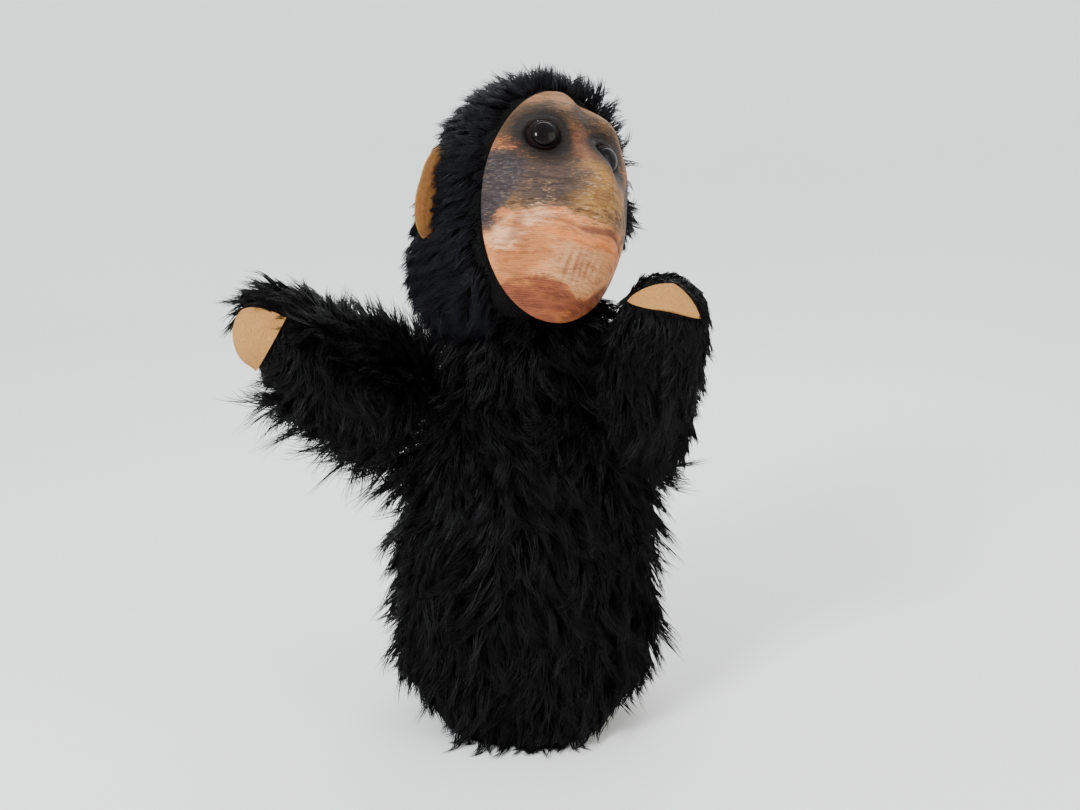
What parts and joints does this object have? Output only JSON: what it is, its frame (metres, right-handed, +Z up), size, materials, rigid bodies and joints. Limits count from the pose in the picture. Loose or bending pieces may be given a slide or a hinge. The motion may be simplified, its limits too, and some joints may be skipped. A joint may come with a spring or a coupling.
{
  "type": "chimpanzee glove puppet",
  "caption": "Fur glove puppet of a chimpanzee with a stuffed head, padded face, felt ears and palms; the head and arms move.",
  "frame": {"origin": "on the surface that the hem stands on, under the centre of the object's box", "axes": "+Z up, the front of the body faces -Y, the puppet's left is +X"},
  "size_m": [0.2006, 0.0975, 0.2808],
  "materials": {
    "body_fur": "long black acrylic pile, slightly glossy",
    "hood_fur": "short black acrylic pile",
    "lining": "plain woven tape and backing",
    "face_knit": "printed stretch knit, worn",
    "palm_felt": "brushed felt",
    "ear_outer": "brushed felt",
    "ear_inner": "brushed felt",
    "iris": "polished brown",
    "pupil": "polished black",
    "washer": "moulded",
    "card": "rolled card",
    "stuffing": "wadding",
    "thread": "twisted thread"
  },
  "bodies": {
    "glove": {"body_front_panel": "body_fur", "body_back_panel": "body_fur", "hem_facing": "lining"},
    "neck_base": {"neck_binding": "lining"},
    "neck": {"neck_sleeve": "body_fur", "neck_drawstring": "thread"},
    "head": {"finger_tube": "card", "hood_left_panel": "hood_fur", "hood_right_panel": "hood_fur", "head_stuffing": "stuffing", "face": "face_knit", "face_padding": "stuffing", "left_eye": "iris", "left_pupil": "pupil", "left_eye_washer": "washer", "right_eye": "iris", "right_pupil": "pupil", "right_eye_washer": "washer", "left_ear_front": "ear_inner", "left_ear_back": "ear_outer", "right_ear_front": "ear_inner", "right_ear_back": "ear_outer"},
    "left_shoulder": {"left_armhole_binding": "lining"},
    "left_arm": {"left_sleeve_front": "body_fur", "left_sleeve_back": "body_fur", "left_palm": "palm_felt"},
    "right_shoulder": {"right_armhole_binding": "lining"},
    "right_arm": {"right_sleeve_front": "body_fur", "right_sleeve_back": "body_fur", "right_palm": "palm_felt"}
  },
  "joints": [
    {"name": "head_nod", "type": "hinge", "parent": "glove", "child": "neck_base", "pos_m": [0.0249, 0.0028, 0.16], "axis": [1, 0, 0], "range_deg": [-15, 10]},
    {"name": "head_tilt", "type": "hinge", "parent": "neck_base", "child": "neck", "pos_m": [0.0249, 0.0028, 0.16], "axis": [0, 1, 0], "range_deg": [-15, 5]},
    {"name": "head_turn", "type": "hinge", "parent": "neck", "child": "head", "pos_m": [0.0249, 0.0028, 0.16], "axis": [0, 0, 1], "range_deg": [-75, 10]},
    {"name": "left_arm_raise", "type": "hinge", "parent": "glove", "child": "left_shoulder", "pos_m": [0.0739, 0.0028, 0.137], "axis": [0, -1, 0], "range_deg": [-70, 5]},
    {"name": "left_arm_swing", "type": "hinge", "parent": "left_shoulder", "child": "left_arm", "pos_m": [0.0739, 0.0028, 0.137], "axis": [0.984, 0, -0.178], "range_deg": [-35, 17]},
    {"name": "right_arm_raise", "type": "hinge", "parent": "glove", "child": "right_shoulder", "pos_m": [-0.0321, 0.0028, 0.144], "axis": [0, 1, 0], "range_deg": [-50, 35]},
    {"name": "right_arm_swing", "type": "hinge", "parent": "right_shoulder", "child": "right_arm", "pos_m": [-0.0321, 0.0028, 0.144], "axis": [0.5026, 0, 0.8645], "range_deg": [-25, 45]}
  ]
}
